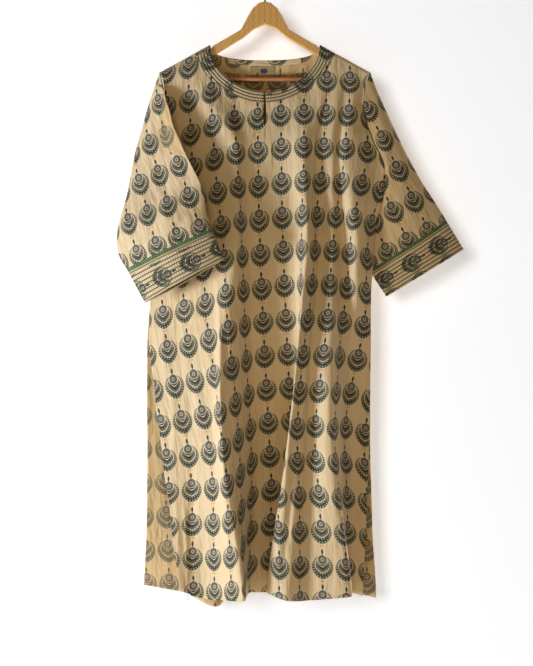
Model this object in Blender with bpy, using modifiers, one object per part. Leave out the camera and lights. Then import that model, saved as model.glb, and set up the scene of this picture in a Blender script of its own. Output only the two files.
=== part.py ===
"""A block-printed cotton kurta tunic hanging on a wooden hanger.

Metres, +Z up. The origin is inside the top of the hanger's hook. The tunic's front faces -Y.
The tables are in millimetres: x to the viewer's right, z below the hook, out towards the viewer.
"""

import math

import bmesh
import bpy

MM = 0.001

# Driving dimensions, in millimetres.
CLOTH = 1.2
TRIM = 1.0
GAP = 0.35
BAND_GAP = 0.9
ARMHOLE_BULGE = 7.5
SEAM_OUT = CLOTH + GAP / 2
NECK_HALF = 110.0
NECK_TOP = 141.0
NECK_DEPTH = 96.0
BAND_HALF = 138.0
BAND_BOTTOM = 260.0
BACK_NECK_DEPTH = 28.0
BACK_BAND_WIDTH = 30.0
SHOULDER_HALF = 208.0
SHOULDER_DROP = 54.0
UNDERARM = 397.0
BOARD_THICK = 10.0
BAR_RADIUS = 4.0
BAR_HALF = 177.7
BAR_Z = 209.5
HOOK_WIRE = 2.0
HOOK_INNER = 20.0
BUTTON_X = 8.5
BUTTON_Z = 238.6
BUTTON_RADIUS = 4.4
BUTTON_THICK = 2.4
# How far the button's back stands off the band, and the thread loop's size and place round it.
BUTTON_LIFT = 0.9
LOOP_RADIUS = 0.6
LOOP_HALF_WIDTH = 7.3
LOOP_HALF_HEIGHT = 6.2
LOOP_LIFT = 1.3
FACING_HALF = 74.0
FACING_DEPTH = 10.5
LABEL_LEFT = -30.0
LABEL_RIGHT = 18.0
LABEL_TOP = 181.5
LABEL_BOTTOM = 193.0
TAB_LEFT = -163.0
TAB_WIDTH = 14.0
SLIT_HALF = 1.2
SLIT_END = 307.0

# The body's outline: its half widths to the left and right at each height.
SIDES = (
    (195, -208, 208),
    (228, -201, 198),
    (262, -197, 193),
    (300, -199, 202),
    (331, -207, 213),
    (370, -226, 232),
    (397, -240, 246),
    (447, -238, 239),
    (497, -229, 221),
    (560, -227, 217),
    (640, -229, 212),
    (740, -232, 211),
    (850, -218, 210),
    (950, -204, 207),
    (1100, -184, 201),
    (1240, -165, 194),
)
BACK_SIDES = (
    (195, -208, 208),
    (228, -201, 198),
    (262, -197, 193),
    (300, -199, 202),
    (331, -207, 213),
    (370, -226, 232),
    (397, -240, 246),
    (447, -238, 239),
    (497, -229, 221),
    (560, -227, 217),
    (640, -229, 212),
    (740, -236, 212),
    (850, -237, 211),
    (950, -236, 211),
    (1100, -237, 215),
    (1240, -243, 223),
)

# The front's folds from left to right: x and out at five heights, and the hem's height below each.
LEVELS = (350.0, 550.0, 750.0, 950.0)
# Each row: its name, x at the top edge, x and out at the chest, waist, hip, knee and hem, the hem's height,
# and how many steps lie between it and the next fold.
FRONT_FOLDS = (
    ("left_edge", -208, -216, 3, -228, 1.6, -232, 1.8, -204, 20, -167, 34, 1223, 2),
    ("left_fall", -172, -170, 8, -165, 16, -166, 22, -153, 32, -126, 24, 1240, 3),
    ("left_dip", -138, -115, 18, -114, 31, -114, 40, -114, 44, -106, 33, 1241, 2),
    ("left_turn", -134, -100, 22, -98, 38, -98, 47, -98, 54, -90, 44, 1238, 3),
    ("left_ridge", -92, -61, 34, -58, 52, -83, 60, -78, 80, -42, 84, 1229, 2),
    ("left_flank", -60, -47, 29, -43, 32, -55, 48, -51, 46, -36, 50, 1230, 2),
    ("left_foot", -32, -31, 22, -26, 14, -26, 6, -20, -8, -30, 19, 1231, 2),
    ("floor", 2, 3, 21, 6, 10, 6, 1, 9, -18, -10, 13, 1232, 3),
    ("right_foot", 46, 48, 25, 57, 13, 66, 4, 53, -13, 26, 13, 1232, 2),
    ("right_ridge", 80, 76, 34, 79, 46, 62, 55, 40, 50, 3, 48, 1222, 2),
    ("right_shoulder", 112, 87, 29, 92, 35, 78, 48, 62, 49, 36, 72, 1230, 3),
    ("right_turn", 134, 97, 22, 101, 20, 86, 42, 75, 38, 60, 63, 1235, 2),
    ("shallow", 138, 105, 17, 111, 12, 94, 36, 87, 29, 80, 52, 1237, 2),
    ("third_ridge", 152, 132, 24, 134, 26, 130, 43, 129, 52, 164, 58, 1228, 2),
    ("crease", 168, 147, 18, 157, 9, 153, 11, 150, 18, 167, 15, 1232, 2),
    ("right_fall", 184, 166, 24, 182, 32, 175, 4, 174, -8, 180, 9, 1236, 2),
    ("right_edge", 208, 222, 3, 217, 1.6, 211, 2.5, 207, 3, 194, 13, 1240, 0),
)
BACK_FOLDS = (
    ("left_edge", -208, -216, -3, -228, -1.6, -236, -1.8, -236, -6, -243, -6, 1222, 4),
    ("left_wave", -138, -150, -16, -160, -20, -165, -16, -160, -12, -165, 2, 1234, 4),
    ("left_turn", -134, -130, -17, -132, -22, -138, -20, -134, -18, -142, 3, 1244, 3),
    ("left_swing", -80, -80, -20, -80, -26, -86, -28, -84, -30, -96, 6, 1262, 3),
    ("mid_left", -36, -34, -24, -34, -36, -34, -40, -40, -46, -62, -26, 1238, 4),
    ("mid_right", 40, 44, -24, 50, -38, 52, -42, 50, -50, 36, -34, 1232, 4),
    ("right_swing", 96, 100, -20, 106, -28, 110, -32, 108, -36, 104, -16, 1236, 4),
    ("right_turn", 134, 136, -16, 140, -22, 142, -26, 140, -31, 138, -16, 1237, 2),
    ("right_wave", 138, 160, -14, 166, -18, 166, -20, 166, -26, 166, -14, 1238, 4),
    ("right_edge", 208, 222, -3, 217, -1.6, 212, -2.5, 211, -5, 223, -6, 1248, 0),
)

# Each sleeve's rings: the outer point, front guide, inner point and back guide, each as x, z and out.
SLEEVE_LEFT = (
    (-224, 236, 3, -199, 252, 24, -243, 400, 10, -238, 320, -8),
    (-240, 300, 5, -176, 318, 46, -206, 424, 32, -250, 374, -2),
    (-256, 360, 8, -152, 376, 60, -158, 446, 50, -240, 424, 14),
    (-272, 440, 16, -134, 440, 74, -124, 480, 64, -205, 478, 34),
    (-290, 510, 26, -178, 490, 82, -108, 500, 74, -200, 526, 42),
    (-288, 560, 34, -184, 530, 84, -104, 510, 78, -196, 552, 48),
    (-270, 592, 42, -187, 556, 84, -103, 519, 80, -187, 562, 54),
)
CUFF_LEFT_END = (-234, 658, 46, -157, 617, 86, -78, 576, 82, -157, 621, 56)
SLEEVE_RIGHT = (
    (222, 228, 2, 224, 312, 16, 250, 424, -1, 228, 322, -16),
    (245, 280, 2, 240, 370, 20, 245, 466, -7, 242, 376, -22),
    (276, 346, 2, 258, 424, 20, 220, 508, -14, 254, 430, -24),
    (310, 410, 2, 270, 474, 18, 212, 546, -16, 266, 480, -26),
    (341, 458, 2, 280, 514, 16, 209, 573, -16, 278, 518, -26),
    (362, 492, 2, 288, 542, 15, 210, 591, -15, 287, 544, -24),
)
CUFF_RIGHT_END = (397, 550, 2, 320, 597, 15, 243, 644, -3, 320, 598, -14)
CUFF_DEPTH = 72.0
BORDER_DEPTH = 7.0
BORDER_GAP = 0.7
RING_POINTS = 24
SLEEVE_ROWS_BETWEEN = 2

# The hanger board's left half: x and z of its upper and lower edges.
BOARD_UPPER = (
    (0, 55), (-12, 58), (-24, 68), (-34, 84), (-48, 111), (-80, 130), (-103, 143), (-114, 155), (-188, 194),
)
BOARD_LOWER = (
    (-193, 200), (-191, 216), (-178, 216), (-178, 200.5), (-96, 158),
    (-66, 140), (-44, 127), (-22, 109), (0, 100),
)


def material(name, color, roughness, metallic=0.0):
    """A plain Principled material."""
    made = bpy.data.materials.new(name)
    made.use_nodes = True
    shader = made.node_tree.nodes["Principled BSDF"]
    shader.inputs["Base Color"].default_value = (*color, 1.0)
    shader.inputs["Roughness"].default_value = roughness
    shader.inputs["Metallic"].default_value = metallic
    return made


def clear_scene():
    for obj in list(bpy.data.objects):
        bpy.data.objects.remove(obj, do_unlink=True)


def place(x, z, out):
    """A point of the tables as world metres."""
    return (x * MM, -out * MM, -z * MM)


def put(obj, collection, look):
    collection.objects.link(obj)
    obj.data.materials.append(look)
    return obj


def between(rows, value, column):
    """The column's value at a height, read smoothly between a table's rows."""
    if value <= rows[0][0]:
        return float(rows[0][column])
    for low, high in zip(rows, rows[1:]):
        if value <= high[0]:
            share = (value - low[0]) / (high[0] - low[0])
            share = share * share * (3 - 2 * share) * 0.5 + share * 0.5
            return low[column] + (high[column] - low[column]) * share
    return float(rows[-1][column])


def spline(before, start, end, after, share):
    """One step of a Catmull-Rom curve through four numbers."""
    square, cube = share * share, share**3
    return 0.5 * (
        2 * start
        + (end - before) * share
        + (2 * before - 5 * start + 4 * end - after) * square
        + (3 * start - before - 3 * end + after) * cube
    )


def spline_at(values, place_on):
    """A Catmull-Rom curve through a list of numbers, read at a place from 0 to its last index."""
    last = len(values) - 1
    index = min(int(place_on), last - 1)
    return spline(
        values[max(index - 1, 0)],
        values[index],
        values[index + 1],
        values[min(index + 2, last)],
        place_on - index,
    )


def shoulder_z(x):
    """The shoulder line's height at x, falling outwards from the neck."""
    return NECK_TOP + max(abs(x) - NECK_HALF, 0.0) * SHOULDER_DROP / (SHOULDER_HALF - NECK_HALF)


def neck_z(x):
    """The front neckline."""
    share = min(abs(x) / NECK_HALF, 1.0)
    return NECK_TOP + NECK_DEPTH * (1 - share**1.9) ** (1 / 1.9)


def band_z(x):
    """The neck band's outer edge, where it is sewn to the front."""
    start = shoulder_z(BAND_HALF)
    share = min(abs(x) / BAND_HALF, 1.0)
    return start + (BAND_BOTTOM - start) * (1 - share**1.7) ** (1 / 1.7)


def back_neck_z(x):
    share = min(abs(x) / NECK_HALF, 1.0)
    return NECK_TOP + BACK_NECK_DEPTH * (1 - share**2.4) ** (1 / 2.4)


def back_band_z(x):
    start = shoulder_z(BAND_HALF)
    share = min(abs(x) / BAND_HALF, 1.0)
    return start + (NECK_TOP + BACK_NECK_DEPTH + BACK_BAND_WIDTH - start) * (1 - share**2.2) ** (1 / 2.2)


def front_top(x):
    """The front panel's top edge: the band's seam, then the shoulder seam."""
    return band_z(x) if abs(x) < BAND_HALF else shoulder_z(x)


def back_top(x):
    return back_band_z(x) if abs(x) < BAND_HALF else shoulder_z(x)


def seam_out(depth_below_shoulder, over_board):
    """How far the cloth stands out just below the shoulder seam, where it turns over the board."""
    share = min(max(depth_below_shoulder, 0.0) / 6.0, 1.0)
    return SEAM_OUT + (over_board - SEAM_OUT) * math.sqrt(share)


def neck_out(x, z, sign):
    """How far a panel stands out in the yoke, above the chest line."""
    fall = z - shoulder_z(x)
    lean = 9.0 + 7.0 * min(max(z - 160.0, 0.0) / 100.0, 1.0) * (1 - min(abs(x) / 200.0, 1.0))
    return sign * seam_out(fall, lean)


def armhole_out(z):
    """How far a panel's side edge stands out along the armhole, from the shoulder to the underarm."""
    fall = z - NECK_TOP - SHOULDER_DROP
    share = min(max(fall / (UNDERARM - NECK_TOP - SHOULDER_DROP), 0.0), 1.0)
    close = math.sqrt(math.sin(math.pi * share)) if share > 0.5 else math.sqrt(min(max(fall, 0.0) / 6.0, 1.0))
    return SEAM_OUT + ARMHOLE_BULGE * close


def panel_row(folds, sides, top, sign, part):
    """One row of fold points, as (x, z, out). part runs from 0 at the top edge to 5 at the hem."""
    points = []
    for index, fold in enumerate(folds):
        name, x_top, *places, z_hem, steps = fold
        xs = [x_top, *places[0::2]]
        zs = [top(x_top), *LEVELS, z_hem]
        x = spline_at(xs, part)
        level = min(int(part), 4)
        z = zs[level] + (zs[level + 1] - zs[level]) * (part - level)
        if index == 0:
            x = between(sides, z, 1)
        if index == len(folds) - 1:
            x = between(sides, z, 2)
        outs = [places[1], *places[1::2]]
        out = spline_at(outs, part)
        if part < 1:
            yoke = neck_out(x, z, sign)
            ease = part * part * (3 - 2 * part)
            out = yoke + (places[1] - yoke) * ease
        if index in (0, len(folds) - 1):
            out = sign * (armhole_out(z) if z < UNDERARM else max(sign * out, SEAM_OUT))
        points.append((x, z, out))
    return points


def fill_row(folds, points):
    """The row's points with the steps between folds put in along a smooth curve."""
    filled = []
    for index, fold in enumerate(folds[:-1]):
        steps = fold[-1]
        for step in range(steps):
            place_on = index + step / steps
            filled.append(tuple(spline_at([point[axis] for point in points], place_on) for axis in range(3)))
    filled.append(points[-1])
    return filled


def panel_rows(folds, sides, top, sign, parts):
    """The panel's rows, the uppermost laid on its top edge and those below it eased back to the folds."""
    rows = [fill_row(folds, panel_row(folds, sides, top, sign, part)) for part in parts]
    lifts = [top(x) - z for x, z, out in rows[0]]
    for i, part in enumerate(parts):
        if part >= 1:
            break
        rows[i] = [(x, z + lift * (1 - part), out) for (x, z, out), lift in zip(rows[i], lifts)]
    rows[0] = [(x, z, neck_out(x, z, sign)) for x, z, out in rows[0]]
    return rows


PANEL_PARTS = (
    0.0, 0.045, 0.12, 0.25, 0.4, 0.55, 0.7, 0.85, 1.0, 1.17, 1.33, 1.5, 1.67, 1.83, 2.0, 2.25, 2.5, 2.75,
    3.0, 3.25, 3.5, 3.75, 4.0, 4.25, 4.5, 4.75, 5.0,
)


def sheet_object(name, rows, thickness, closed=False, flip=False, inwards=True):
    """An open lofted surface through rows of points, given its wall by Solidify."""
    width = len(rows[0])
    mesh = bpy.data.meshes.new(name)
    corners = [place(*point) for row in rows for point in row]
    faces = []
    for i in range(len(rows) - 1):
        for j in range(width if closed else width - 1):
            k = (j + 1) % width
            face = (i * width + j, i * width + k, (i + 1) * width + k, (i + 1) * width + j)
            faces.append(face if flip else face[::-1])
    mesh.from_pydata(corners, [], faces)
    mesh.shade_smooth()
    obj = bpy.data.objects.new(name, mesh)
    wall = obj.modifiers.new("Wall", "SOLIDIFY")
    wall.thickness = thickness * MM
    wall.offset = -1.0 if inwards else 1.0
    wall.use_even_offset = False
    return obj


def ring(points, count):
    """A closed smooth ring through four points, with count points, starting at the outer one."""
    made = []
    for j in range(count):
        place_on = 4 * j / count
        index = int(place_on)
        share = place_on - index
        made.append(
            tuple(
                spline(
                    points[(index - 1) % 4][axis],
                    points[index % 4][axis],
                    points[(index + 1) % 4][axis],
                    points[(index + 2) % 4][axis],
                    share,
                )
                for axis in range(3)
            )
        )
    return made


def row_points(row):
    return [tuple(row[3 * i : 3 * i + 3]) for i in range(4)]


def armhole_ring(side, count):
    """The sleeve's first ring, just outside the armhole edges of the front and the back."""
    column = 1 if side < 0 else 2
    made = []
    half = count // 2
    top, bottom = shoulder_z(SHOULDER_HALF) - 1.0, UNDERARM + 3.0
    for j in range(count):
        down = j / half if j <= half else 2 - j / half
        z = top + (bottom - top) * down
        x = between(SIDES, z, column) + side * 2.2
        bulge = armhole_out(z)
        made.append((x, z, bulge if 0 < j < half else -bulge if j > half else 0.0))
    return made


def sleeve_rows(table, side):
    """Rings from the armhole to the sleeve's end, with more rows put between the table's own."""
    rings = [armhole_ring(side, RING_POINTS)]
    rings += [ring(row_points(row), RING_POINTS) for row in table]
    rows = []
    count = (len(rings) - 1) * SLEEVE_ROWS_BETWEEN
    for i in range(count + 1):
        place_on = i / SLEEVE_ROWS_BETWEEN
        rows.append(
            [
                tuple(spline_at([one[j][axis] for one in rings], place_on) for axis in range(3))
                for j in range(RING_POINTS)
            ]
        )
    return rows


def cuff_rows(first, last, start, end, steps):
    """A straight tube from the sleeve's end to the cuff's end, between two depths down the cuff."""
    rows = []
    for i in range(steps + 1):
        share = (start + (end - start) * i / steps) / CUFF_DEPTH
        rows.append([tuple(a[k] + (b[k] - a[k]) * share for k in range(3)) for a, b in zip(first, last)])
    return rows


def band_rows(seam, inner, sign):
    """A neck band sewn along a panel's top edge: rows across its width, a column for each seam point."""
    rows = []
    for share in (0.0, 0.25, 0.5, 0.75, 1.0):
        row = []
        for x_seam, z_seam in seam:
            x_in = x_seam * NECK_HALF / BAND_HALF
            z_in = inner(x_in)
            away = math.hypot(x_seam - x_in, z_seam - z_in)
            reach = share * (away - BAND_GAP) / away
            x = x_in + (x_seam - x_in) * reach
            z = z_in + (z_seam - z_in) * reach
            row.append((x, z, neck_out(x, z, sign)))
        rows.append(row)
    return rows


def seam_points(row):
    """The part of a panel's top edge that its neck band is sewn to."""
    return [(x, z) for x, z, out in row if abs(x) <= BAND_HALF + 0.01]


def body(collection, look, band_look):
    """The front and back panels and the neck band, which is split in front by the keyhole slit."""
    front = panel_rows(FRONT_FOLDS, SIDES, front_top, 1.0, PANEL_PARTS)
    back = panel_rows(BACK_FOLDS, BACK_SIDES, back_top, -1.0, PANEL_PARTS)
    panel = put(sheet_object("front_panel", front, CLOTH), collection, look)
    cut_slit(panel)
    put(sheet_object("back_panel", back, CLOTH, flip=True), collection, look)
    seam = seam_points(front[0])
    left = [point for point in seam if point[0] < -4] + [(-SLIT_HALF, BAND_BOTTOM)]
    right = [(SLIT_HALF, BAND_BOTTOM)] + [point for point in seam if point[0] > 4]
    put(sheet_object("neck_band_left", band_rows(left, neck_z, 1.0), CLOTH), collection, band_look)
    put(sheet_object("neck_band_right", band_rows(right, neck_z, 1.0), CLOTH), collection, band_look)
    band = band_rows(seam_points(back[0]), back_neck_z, -1.0)
    put(sheet_object("neck_band_back", band, CLOTH, flip=True), collection, band_look)
    return back[-1]


def cut_slit(panel):
    """The keyhole slit, cut down from the band's seam with a thin box."""
    cutters = bpy.data.collections.new("cutters")
    bpy.context.scene.collection.children.link(cutters)
    bm = bmesh.new()
    bmesh.ops.create_cube(bm, size=1.0)
    top = BAND_BOTTOM - 6.0
    for vert in bm.verts:
        vert.co = (
            vert.co.x * 2 * SLIT_HALF * MM,
            vert.co.y * 60 * MM - 16 * MM,
            vert.co.z * (SLIT_END - top) * MM - (SLIT_END + top) / 2 * MM,
        )
    mesh = bpy.data.meshes.new("slit_cutter")
    bm.to_mesh(mesh)
    bm.free()
    cutter = bpy.data.objects.new("slit_cutter", mesh)
    cutter.hide_render = True
    cutter.display_type = "WIRE"
    cutters.objects.link(cutter)
    cut = panel.modifiers.new("Slit", "BOOLEAN")
    cut.operation = "DIFFERENCE"
    cut.object = cutter


def sleeves(collection, look, border_look, cuff_look):
    """Each sleeve, the couched border at its end and the cuff below that."""
    for name, side, table, cuff_end in (
        ("left", -1.0, SLEEVE_LEFT, CUFF_LEFT_END),
        ("right", 1.0, SLEEVE_RIGHT, CUFF_RIGHT_END),
    ):
        flip = side > 0
        rows = sleeve_rows(table, side)
        put(sheet_object(f"sleeve_{name}", rows, CLOTH, True, flip), collection, look)
        last = ring(row_points(cuff_end), RING_POINTS)
        border = cuff_rows(rows[-1], last, BORDER_GAP, BORDER_DEPTH, 1)
        put(sheet_object(f"border_{name}", border, CLOTH, True, flip), collection, border_look)
        band = cuff_rows(rows[-1], last, BORDER_DEPTH + GAP, CUFF_DEPTH, 2)
        put(sheet_object(f"cuff_{name}", band, CLOTH, True, flip), collection, cuff_look)


def flat_outline(name, points, thickness, out):
    """A flat piece cut to an outline in the x-z plane, its middle at a distance out."""
    curve = bpy.data.curves.new(name, "CURVE")
    curve.dimensions = "2D"
    curve.fill_mode = "BOTH"
    curve.extrude = thickness * MM / 2
    line = curve.splines.new("POLY")
    line.points.add(len(points) - 1)
    for point, (x, z) in zip(line.points, points):
        point.co = (x * MM, -z * MM, 0.0, 1.0)
    line.use_cyclic_u = True
    obj = bpy.data.objects.new(name, curve)
    obj.rotation_euler = (math.pi / 2, 0.0, 0.0)
    obj.location = (0.0, -out * MM, 0.0)
    return obj


def tube(name, points, radius):
    """A round wire or bar along a line of world points."""
    curve = bpy.data.curves.new(name, "CURVE")
    curve.dimensions = "3D"
    curve.bevel_depth = radius * MM
    curve.bevel_resolution = 2
    curve.use_fill_caps = True
    line = curve.splines.new("POLY")
    line.points.add(len(points) - 1)
    for point, spot in zip(line.points, points):
        point.co = (*spot, 1.0)
    return bpy.data.objects.new(name, curve)


def hanger(collection, wood, red_wood, steel):
    outline = list(BOARD_UPPER) + list(BOARD_LOWER)
    outline += [(-x, z) for x, z in reversed(outline) if x != 0]
    put(flat_outline("hanger_board", outline, BOARD_THICK, 0.0), collection, wood)
    ends = [place(-BAR_HALF, BAR_Z, 0.0), place(BAR_HALF, BAR_Z, 0.0)]
    put(tube("hanger_bar", ends, BAR_RADIUS), collection, red_wood)
    points = []
    radius = HOOK_INNER + HOOK_WIRE
    for step in range(0, 21):
        angle = math.radians(200.0 - step * 245.0 / 20)
        points.append(place(radius * math.cos(angle), HOOK_INNER - radius * math.sin(angle), 0.0))
    points.append(place(4.0, HOOK_INNER + 24.0, 0.0))
    points.append(place(0.0, HOOK_INNER + 29.0, 0.0))
    points.append(place(0.0, BOARD_UPPER[0][1] - 0.3, 0.0))
    put(tube("hanger_hook", points, HOOK_WIRE), collection, steel)


def strip(name, x_from, x_to, z_top, z_bottom, out, count, thickness):
    """A small sewn strip that follows the surface behind it."""
    rows = []
    for share in (0.0, 0.5, 1.0):
        row = []
        for j in range(count + 1):
            x = x_from + (x_to - x_from) * j / count
            low, high = z_top(x), z_bottom(x)
            z = low + (high - low) * share
            row.append((x, z, out(x, z)))
        rows.append(row)
    return sheet_object(name, rows, thickness)


def labels(collection, look, printed):
    """The printed facing inside the back neck, the bare neck label, size tab and hem tab."""
    inside = lambda x, z: neck_out(x, z, -1.0) + CLOTH + GAP + TRIM
    facing = strip(
        "back_neck_facing",
        -FACING_HALF,
        FACING_HALF,
        lambda x: back_neck_z(x) + 0.5,
        lambda x: back_neck_z(x) + 0.5 + FACING_DEPTH,
        inside,
        10,
        TRIM,
    )
    put(facing, collection, printed)
    label = strip(
        "neck_label", LABEL_LEFT, LABEL_RIGHT, lambda x: LABEL_TOP, lambda x: LABEL_BOTTOM, inside, 4, TRIM
    )
    put(label, collection, look)
    tab = strip(
        "size_tab", -9, 3, lambda x: 187.0, lambda x: 195.0, lambda x, z: inside(x, z) + TRIM + GAP, 2, TRIM
    )
    put(tab, collection, look)


def button(collection, look, thread):
    """The button on the right end of the neck band, and the thread loop round it."""
    bm = bmesh.new()
    bmesh.ops.create_cone(
        bm,
        cap_ends=True,
        segments=20,
        radius1=BUTTON_RADIUS * MM,
        radius2=BUTTON_RADIUS * MM,
        depth=BUTTON_THICK * MM,
    )
    mesh = bpy.data.meshes.new("button")
    bm.to_mesh(mesh)
    bm.free()
    obj = put(bpy.data.objects.new("button", mesh), collection, look)
    band_face = neck_out(BUTTON_X, BUTTON_Z + BUTTON_THICK, 1.0)
    obj.rotation_euler = (math.pi / 2, 0.0, 0.0)
    obj.location = place(BUTTON_X, BUTTON_Z, band_face + BUTTON_THICK / 2 + BUTTON_LIFT)
    rim = obj.modifiers.new("Rim", "BEVEL")
    rim.width = 0.6 * MM
    rim.segments = 2
    loop_out = neck_out(BUTTON_X, BUTTON_Z + LOOP_HALF_HEIGHT, 1.0) + LOOP_LIFT
    turns = []
    for step in range(0, 11):
        angle = math.radians(35 + step * 290 / 10)
        x = BUTTON_X - 0.5 + LOOP_HALF_WIDTH * math.cos(angle)
        z = BUTTON_Z + LOOP_HALF_HEIGHT * math.sin(angle)
        turns.append(place(x, z, loop_out))
    put(tube("button_loop", turns, LOOP_RADIUS), collection, thread)


def hem_tab(collection, look, hem):
    """A bare white tab inside the back's hem at the left slit, made from the hem's own points."""
    rows = []
    for drop in (-10.0, 2.0, 14.0):
        row = []
        for x in (TAB_LEFT, TAB_LEFT + TAB_WIDTH / 2, TAB_LEFT + TAB_WIDTH):
            z, out = hem_at(hem, x)
            row.append((x, z + drop, out + CLOTH + GAP + TRIM))
        rows.append(row)
    put(sheet_object("hem_tab", rows, TRIM), collection, look)


def hem_at(hem, x):
    """The hem's height and its distance out at x."""
    for low, high in zip(hem, hem[1:]):
        if low[0] <= x <= high[0]:
            share = (x - low[0]) / (high[0] - low[0])
            return tuple(low[k] + (high[k] - low[k]) * share for k in (1, 2))
    return hem[0][1:]


def main():
    clear_scene()
    collection = bpy.data.collections.new("kurta_on_hanger")
    bpy.context.scene.collection.children.link(collection)
    cotton = material("printed_cotton", (0.74, 0.56, 0.33), 0.85)
    stitched = material("stitched_cotton", (0.62, 0.50, 0.30), 0.85)
    green = material("green_couching", (0.16, 0.22, 0.10), 0.8)
    wood = material("hanger_wood", (0.72, 0.40, 0.14), 0.45)
    red_wood = material("bar_wood", (0.55, 0.24, 0.12), 0.5)
    steel = material("hook_steel", (0.6, 0.6, 0.62), 0.25, 1.0)
    white = material("label_white", (0.86, 0.87, 0.88), 0.8)
    button_look = material("button_brown", (0.25, 0.09, 0.06), 0.4)
    hem = body(collection, cotton, stitched)
    sleeves(collection, cotton, green, stitched)
    hanger(collection, wood, red_wood, steel)
    labels(collection, white, stitched)
    button(collection, button_look, green)
    hem_tab(collection, white, hem)


main()
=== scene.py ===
"""The look of a block-printed cotton kurta tunic on a wooden hanger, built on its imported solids.

Tables are in millimetres: x to the viewer's right, z below the hook, out towards the viewer.
"""

import math

import bpy
import numpy as np
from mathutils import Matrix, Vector, noise


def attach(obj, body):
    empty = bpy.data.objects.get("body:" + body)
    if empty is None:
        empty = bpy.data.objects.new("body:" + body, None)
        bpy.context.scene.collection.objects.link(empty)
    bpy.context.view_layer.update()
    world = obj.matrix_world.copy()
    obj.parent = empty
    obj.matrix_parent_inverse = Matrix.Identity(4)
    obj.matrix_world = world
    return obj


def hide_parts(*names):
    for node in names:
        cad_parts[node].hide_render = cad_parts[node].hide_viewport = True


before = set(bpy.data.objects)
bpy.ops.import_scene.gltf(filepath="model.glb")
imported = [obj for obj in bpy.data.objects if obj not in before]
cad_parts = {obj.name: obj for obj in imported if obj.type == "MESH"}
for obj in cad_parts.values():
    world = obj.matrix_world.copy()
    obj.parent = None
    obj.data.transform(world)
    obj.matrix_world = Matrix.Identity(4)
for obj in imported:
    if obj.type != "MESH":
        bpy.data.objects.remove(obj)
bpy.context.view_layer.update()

MM = 0.001

# Driving dimensions, in millimetres.
CLOTH = 1.2
TRIM = 1.0
GAP = 0.35
ARMHOLE_BULGE = 7.5
SEAM_OUT = CLOTH + GAP / 2
NECK_HALF = 110.0
NECK_TOP = 141.0
NECK_DEPTH = 96.0
BAND_HALF = 138.0
BAND_BOTTOM = 260.0
BACK_NECK_DEPTH = 28.0
BACK_BAND_WIDTH = 30.0
SHOULDER_HALF = 208.0
SHOULDER_DROP = 54.0
UNDERARM = 397.0
BOARD_THICK = 10.0
BOARD_EASE = 1.6
BAR_RADIUS = 4.0
HOOK_WIRE = 2.0
HOOK_INNER = 20.0
BAR_HALF = 177.7
BAR_Z = 209.5
BUTTON_X = 8.5
BUTTON_Z = 238.6
SLIT_HALF = 1.9
KEYHOLE = (
    (-2.0, 250), (2.0, 250), (2.4, 262), (3.1, 276), (2.9, 290), (1.5, 302), (0.2, 307), (-0.2, 307),
    (-1.3, 302), (-2.6, 290), (-2.8, 276), (-2.2, 262),
)

# The body's outline: its half widths to the left and right at each height.
SIDES = (
    (195, -208, 208),
    (228, -201, 198),
    (262, -197, 193),
    (300, -199, 202),
    (331, -207, 213),
    (370, -226, 232),
    (397, -240, 246),
    (447, -238, 239),
    (497, -229, 221),
    (560, -227, 217),
    (640, -229, 212),
    (740, -232, 211),
    (850, -218, 210),
    (950, -204, 207),
    (1100, -184, 201),
    (1240, -165, 194),
)
# The back is the same down to the hip, and wider below it.
BACK_SIDES = SIDES[:11] + (
    (740, -236, 212),
    (850, -237, 211),
    (950, -236, 211),
    (1100, -237, 215),
    (1240, -243, 223),
)

# The folds of each panel from left to right: a name, x at the top, then x and out at the chest, the waist,
# the hip, the knee and the hem, and the hem's height there. LEVELS are the heights of the first four.
LEVELS = (350.0, 550.0, 750.0, 950.0)
FRONT_FOLDS = (
    ("left_edge", -208, -216, 3, -228, 1.6, -232, 1.8, -204, 20, -167, 34, 1223),
    ("left_fall", -172, -170, 8, -165, 16, -166, 22, -153, 32, -126, 24, 1240),
    ("left_dip", -138, -115, 18, -114, 31, -114, 40, -114, 44, -106, 33, 1241),
    ("left_turn", -134, -100, 22, -98, 38, -98, 47, -98, 54, -90, 44, 1238),
    ("left_ridge", -92, -61, 34, -58, 52, -83, 60, -78, 80, -42, 84, 1229),
    ("left_flank", -60, -47, 29, -43, 32, -55, 48, -51, 46, -36, 50, 1230),
    ("left_foot", -32, -31, 22, -26, 14, -26, 6, -20, -8, -30, 19, 1231),
    ("floor", 2, 3, 21, 6, 10, 6, 1, 9, -18, -10, 13, 1232),
    ("right_foot", 46, 48, 25, 57, 13, 66, 4, 53, -13, 26, 13, 1232),
    ("right_ridge", 80, 76, 34, 79, 46, 62, 55, 40, 50, 3, 48, 1222),
    ("right_shoulder", 112, 87, 29, 92, 35, 78, 48, 62, 49, 36, 72, 1230),
    ("right_turn", 134, 97, 22, 101, 20, 86, 42, 75, 38, 60, 63, 1235),
    ("shallow", 138, 105, 17, 111, 12, 94, 36, 87, 29, 80, 52, 1237),
    ("third_ridge", 152, 132, 24, 134, 26, 130, 43, 129, 52, 164, 58, 1228),
    ("crease", 168, 147, 18, 157, 9, 153, 11, 150, 18, 167, 15, 1232),
    ("right_fall", 184, 166, 24, 182, 32, 175, 4, 174, -8, 180, 9, 1236),
    ("right_edge", 208, 222, 3, 217, 1.6, 211, 2.5, 207, 3, 194, 13, 1240),
)
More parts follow.
